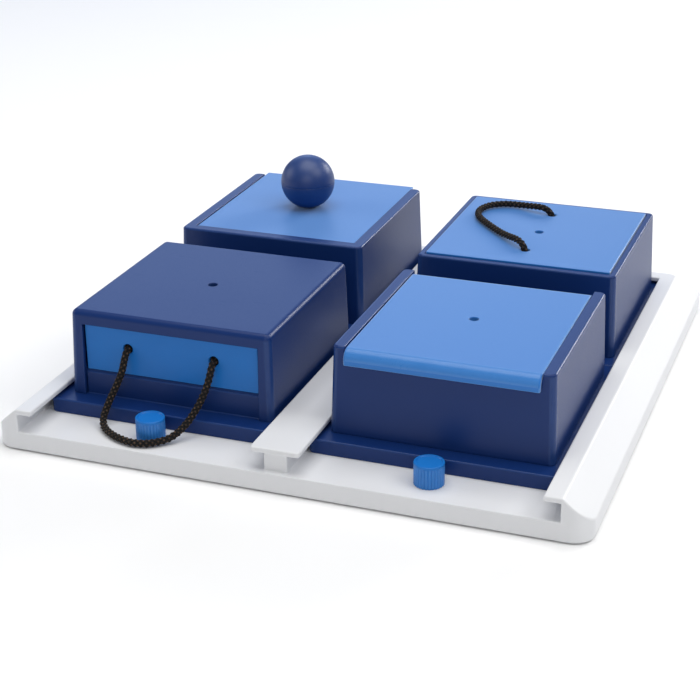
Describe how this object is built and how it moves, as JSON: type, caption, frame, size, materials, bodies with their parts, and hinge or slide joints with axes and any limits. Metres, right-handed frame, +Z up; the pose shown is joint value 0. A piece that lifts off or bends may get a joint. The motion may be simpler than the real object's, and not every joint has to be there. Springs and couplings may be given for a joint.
{
  "type": "dog puzzle feeder toy",
  "caption": "Square tray with rails that hold treat boxes opened by a drawer, a hinged flap, a sliding lid with a ball and a lift-off lid with a rope.",
  "frame": {"origin": "bottom centre of the tray, on the surface that it stands on", "axes": "+X to the right along the front edge, +Y from the front ledge to the back rail, +Z up"},
  "size_m": [0.31, 0.31, 0.0957],
  "materials": {
    "tray_plastic": "satin moulded light grey plastic",
    "navy_plastic": "satin moulded navy plastic with a fine grain",
    "blue_plastic": "satin moulded blue plastic with a fine grain",
    "rope": "black braided cord with brown flecks",
    "rubber": "matt",
    "steel": "zinc plated"
  },
  "bodies": {
    "tray_assembly": {"tray": "tray_plastic", "rubber_feet": "rubber", "drawer_box_base": "navy_plastic", "drawer_box_shell": "navy_plastic", "drawer_box_screws": "steel", "flap_box_base": "navy_plastic", "flap_box_shell": "navy_plastic", "flap_box_screws": "steel", "slide_box_base": "navy_plastic", "slide_box_shell": "navy_plastic", "slide_box_screws": "steel", "lift_box_base": "navy_plastic", "lift_box_shell": "navy_plastic", "lift_box_screws": "steel"},
    "drawer": {"drawer": "blue_plastic", "drawer_rope": "rope", "drawer_rope_knots": "rope"},
    "flap": {"flap_lid": "blue_plastic"},
    "sliding_lid": {"slide_lid": "blue_plastic", "ball_lower": "navy_plastic", "ball_upper": "navy_plastic", "ball_screw": "steel"},
    "lifting_lid": {"lift_lid": "blue_plastic", "lid_rope": "rope", "lid_rope_knots": "rope"},
    "left_stop": {"stop_knob_left": "blue_plastic"},
    "right_stop": {"stop_knob_right": "blue_plastic"}
  },
  "joints": [
    {"name": "drawer_slide", "type": "slide", "parent": "tray_assembly", "child": "drawer", "axis": [0, -1, 0], "range_m": [0, 0.08]},
    {"name": "flap_hinge", "type": "hinge", "parent": "tray_assembly", "child": "flap", "pos_m": [0.0719, -0.0117, 0.0606], "axis": [-1, 0, 0], "range_deg": [0, 100]},
    {"name": "lid_slide", "type": "slide", "parent": "tray_assembly", "child": "sliding_lid", "axis": [0, 1, 0], "range_m": [0, 0.085]},
    {"name": "lid_lift", "type": "slide", "parent": "tray_assembly", "child": "lifting_lid", "axis": [0, 0, 1], "range_m": [0, 0.06]},
    {"name": "left_stop_pull", "type": "slide", "parent": "tray_assembly", "child": "left_stop", "axis": [0, 0, 1], "range_m": [0, 0.009]},
    {"name": "right_stop_pull", "type": "slide", "parent": "tray_assembly", "child": "right_stop", "axis": [0, 0, 1], "range_m": [0, 0.009]}
  ]
}
